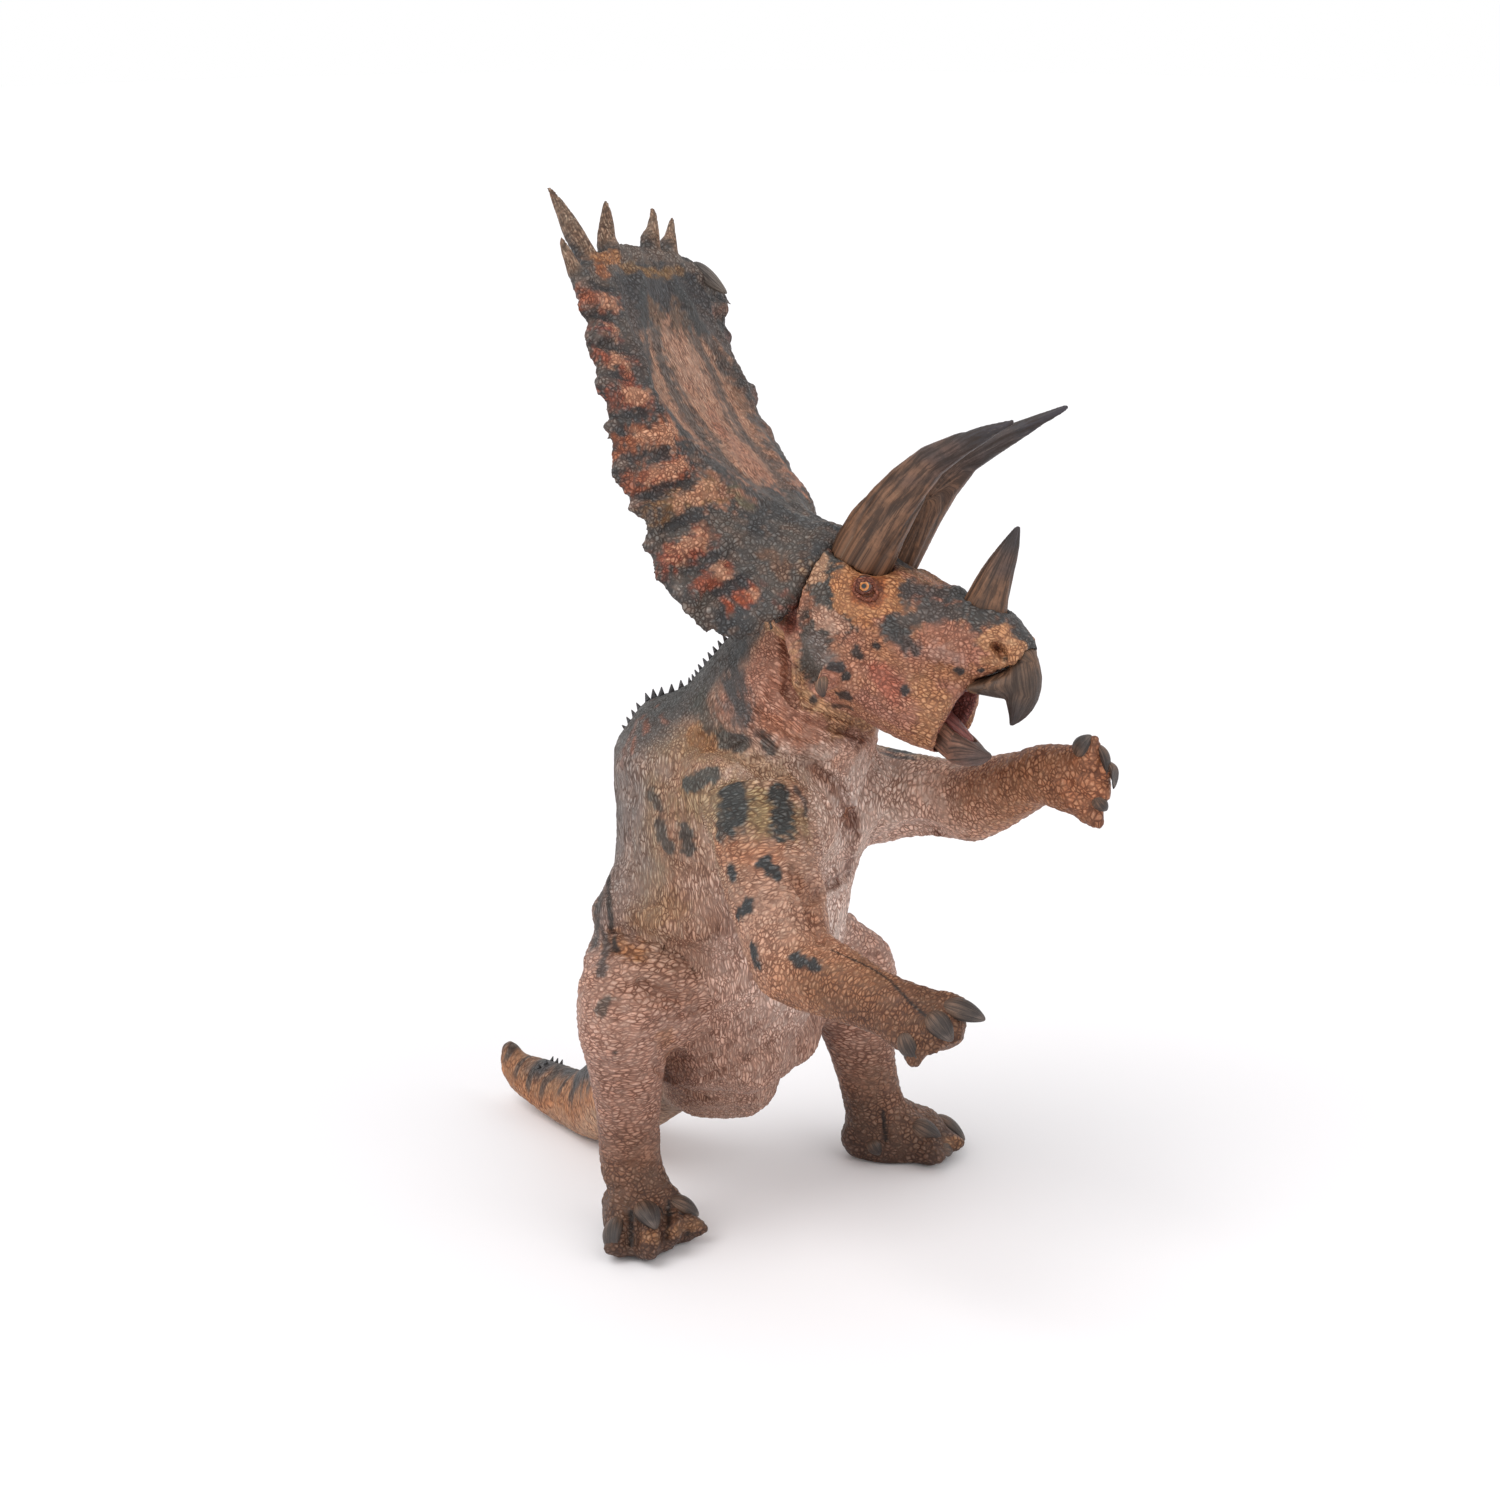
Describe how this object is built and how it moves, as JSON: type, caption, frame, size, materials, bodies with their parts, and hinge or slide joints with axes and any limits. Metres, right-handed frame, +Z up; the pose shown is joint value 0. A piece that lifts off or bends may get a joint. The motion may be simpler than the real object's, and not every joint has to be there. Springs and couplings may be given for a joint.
{
  "type": "toy dinosaur figure",
  "caption": "Toy horned dinosaur rearing on its hind legs and tail, with a tall spiked frill, curved horns, hooked beak, raised forelegs and a jaw that closes.",
  "frame": {"origin": "on the floor, under the middle of the figure's bounding box", "axes": "+X is the way the animal faces, +Y is its left side, +Z is up"},
  "size_m": [0.1436, 0.09, 0.2023],
  "materials": {
    "skin": "hand-painted soft plastic with pebbled scales, pinkish cream to ochre with grey-brown and slate washes",
    "frill_skin": "hand-painted soft plastic, ochre panel and orange bars between dark slate ridges",
    "horn": "grooved, brown washed over dark grey towards the tips",
    "mouth": "satin maroon"
  },
  "bodies": {
    "figure": {"torso": "skin", "arm_right": "skin", "arm_left": "skin", "leg_right": "skin", "leg_left": "skin", "tail": "skin", "head": "skin", "frill": "frill_skin", "brow_horn_right": "horn", "brow_horn_left": "horn", "nose_horn": "horn", "upper_beak": "horn", "mouth_lining": "mouth"},
    "jaw": {"lower_jaw": "horn", "tongue": "mouth"}
  },
  "joints": [
    {"name": "jaw_hinge", "type": "hinge", "parent": "figure", "child": "jaw", "pos_m": [0.03387, -0.00368, 0.11464], "axis": [0.09, -0.971, 0.2215], "range_deg": [0, 14]}
  ]
}
